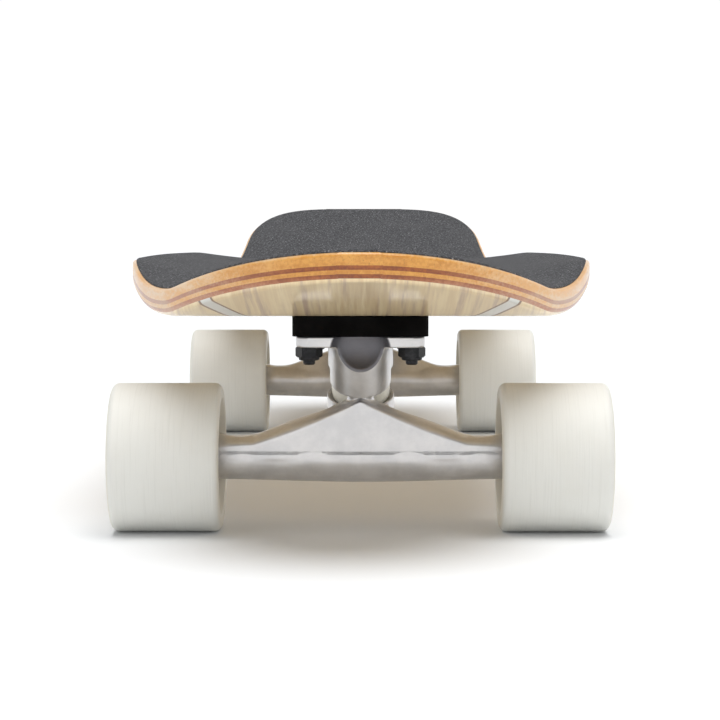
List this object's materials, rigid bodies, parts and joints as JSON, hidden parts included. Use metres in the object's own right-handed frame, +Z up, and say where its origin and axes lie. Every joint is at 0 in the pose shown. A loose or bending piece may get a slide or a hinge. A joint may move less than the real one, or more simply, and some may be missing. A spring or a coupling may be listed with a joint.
{
  "type": "skateboard",
  "caption": "Skateboard with a pressed wood deck, raised nose and tail, two cast steering trucks and soft wide wheels on ball bearings.",
  "frame": {"origin": "on the ground, under the middle of the board", "axes": "+Z up, -Y towards the nose, X along the axles; the board is as long as it is along Y"},
  "size_m": [0.2056, 0.7294, 0.1332],
  "materials": {
    "grip_tape": "gritty black abrasive grip tape",
    "belly_veneer": "lacquered pale veneer with streaks and a curved stripe",
    "brown_veneer": "lacquered dark brown veneer",
    "light_veneer": "lacquered light maple veneer",
    "black_riser": "matte black riser pad",
    "cast_aluminium": "tumbled and polished cast aluminium",
    "pivot_plastic": "dark pivot cup",
    "bright_steel": "zinc-plated steel",
    "cream_bushing": "cream urethane bushing",
    "black_steel": "black oxide fastener",
    "bearing_steel": "ground bearing steel",
    "wheel_urethane": "off-white soft urethane",
    "shield_steel": "pressed steel shield"
  },
  "bodies": {
    "deck": {"grip_tape": "grip_tape", "deck_ply_1": "belly_veneer", "deck_ply_2": "brown_veneer", "deck_ply_3": "light_veneer", "deck_ply_4": "brown_veneer", "deck_ply_5": "light_veneer", "deck_ply_6": "light_veneer", "deck_ply_7": "light_veneer", "front_riser_pad": "black_riser", "front_baseplate": "cast_aluminium", "front_pivot_cup": "pivot_plastic", "front_kingpin": "bright_steel", "front_kingpin_nut": "bright_steel", "front_board_bushing": "cream_bushing", "front_road_bushing": "cream_bushing", "front_bushing_washers": "bright_steel", "front_mounting_bolts": "black_steel", "front_mounting_nuts": "black_steel", "rear_riser_pad": "black_riser", "rear_baseplate": "cast_aluminium", "rear_pivot_cup": "pivot_plastic", "rear_kingpin": "bright_steel", "rear_kingpin_nut": "bright_steel", "rear_board_bushing": "cream_bushing", "rear_road_bushing": "cream_bushing", "rear_bushing_washers": "bright_steel", "rear_mounting_bolts": "black_steel", "rear_mounting_nuts": "black_steel"},
    "front_truck": {"front_hanger": "cast_aluminium", "front_axle": "bright_steel", "front_axle_nuts": "bright_steel", "front_speed_washers": "bright_steel", "front_bearing_inner_races": "bearing_steel", "front_bearing_spacers": "bright_steel"},
    "rear_truck": {"rear_hanger": "cast_aluminium", "rear_axle": "bright_steel", "rear_axle_nuts": "bright_steel", "rear_speed_washers": "bright_steel", "rear_bearing_inner_races": "bearing_steel", "rear_bearing_spacers": "bright_steel"},
    "front_left_wheel": {"front_left_wheel": "wheel_urethane", "front_left_bearing_outer_races": "bearing_steel", "front_left_bearing_shields": "shield_steel"},
    "front_left_ball_set": {"front_left_bearing_balls": "bearing_steel", "front_left_ball_cages": "bright_steel"},
    "front_right_wheel": {"front_right_wheel": "wheel_urethane", "front_right_bearing_outer_races": "bearing_steel", "front_right_bearing_shields": "shield_steel"},
    "front_right_ball_set": {"front_right_bearing_balls": "bearing_steel", "front_right_ball_cages": "bright_steel"},
    "rear_left_wheel": {"rear_left_wheel": "wheel_urethane", "rear_left_bearing_outer_races": "bearing_steel", "rear_left_bearing_shields": "shield_steel"},
    "rear_left_ball_set": {"rear_left_bearing_balls": "bearing_steel", "rear_left_ball_cages": "bright_steel"},
    "rear_right_wheel": {"rear_right_wheel": "wheel_urethane", "rear_right_bearing_outer_races": "bearing_steel", "rear_right_bearing_shields": "shield_steel"},
    "rear_right_ball_set": {"rear_right_bearing_balls": "bearing_steel", "rear_right_ball_cages": "bright_steel"}
  },
  "joints": [
    {"name": "front_steer", "type": "hinge", "parent": "deck", "child": "front_truck", "pos_m": [0, -0.22525, 0.0505], "axis": [0, -0.866, 0.5], "range_deg": [-12, 12], "stiffness_Nm_per_rad": 60, "deforming": ["front_board_bushing", "front_road_bushing"]},
    {"name": "rear_steer", "type": "hinge", "parent": "deck", "child": "rear_truck", "pos_m": [0, 0.16075, 0.0505], "axis": [0, 0.866, 0.5], "range_deg": [-12, 12], "stiffness_Nm_per_rad": 60, "deforming": ["rear_board_bushing", "rear_road_bushing"]},
    {"name": "front_left_spin", "type": "hinge", "parent": "front_truck", "child": "front_left_wheel", "pos_m": [0.0793, -0.24625, 0.0305], "axis": [1, 0, 0], "continuous": true},
    {"name": "front_right_spin", "type": "hinge", "parent": "front_truck", "child": "front_right_wheel", "pos_m": [-0.0793, -0.24625, 0.0305], "axis": [1, 0, 0], "continuous": true},
    {"name": "rear_left_spin", "type": "hinge", "parent": "rear_truck", "child": "rear_left_wheel", "pos_m": [0.0793, 0.18175, 0.0305], "axis": [1, 0, 0], "continuous": true},
    {"name": "rear_right_spin", "type": "hinge", "parent": "rear_truck", "child": "rear_right_wheel", "pos_m": [-0.0793, 0.18175, 0.0305], "axis": [1, 0, 0], "continuous": true},
    {"name": "front_left_ball_orbit", "type": "hinge", "parent": "front_truck", "child": "front_left_ball_set", "pos_m": [0.0793, -0.24625, 0.0305], "axis": [1, 0, 0], "continuous": true},
    {"name": "front_right_ball_orbit", "type": "hinge", "parent": "front_truck", "child": "front_right_ball_set", "pos_m": [-0.0793, -0.24625, 0.0305], "axis": [1, 0, 0], "continuous": true},
    {"name": "rear_left_ball_orbit", "type": "hinge", "parent": "rear_truck", "child": "rear_left_ball_set", "pos_m": [0.0793, 0.18175, 0.0305], "axis": [1, 0, 0], "continuous": true},
    {"name": "rear_right_ball_orbit", "type": "hinge", "parent": "rear_truck", "child": "rear_right_ball_set", "pos_m": [-0.0793, 0.18175, 0.0305], "axis": [1, 0, 0], "continuous": true}
  ],
  "couplings": [
    {"joint": "front_left_ball_orbit", "follows": "front_left_spin", "ratio": 0.6323},
    {"joint": "front_right_ball_orbit", "follows": "front_right_spin", "ratio": 0.6323},
    {"joint": "rear_left_ball_orbit", "follows": "rear_left_spin", "ratio": 0.6323},
    {"joint": "rear_right_ball_orbit", "follows": "rear_right_spin", "ratio": 0.6323}
  ]
}
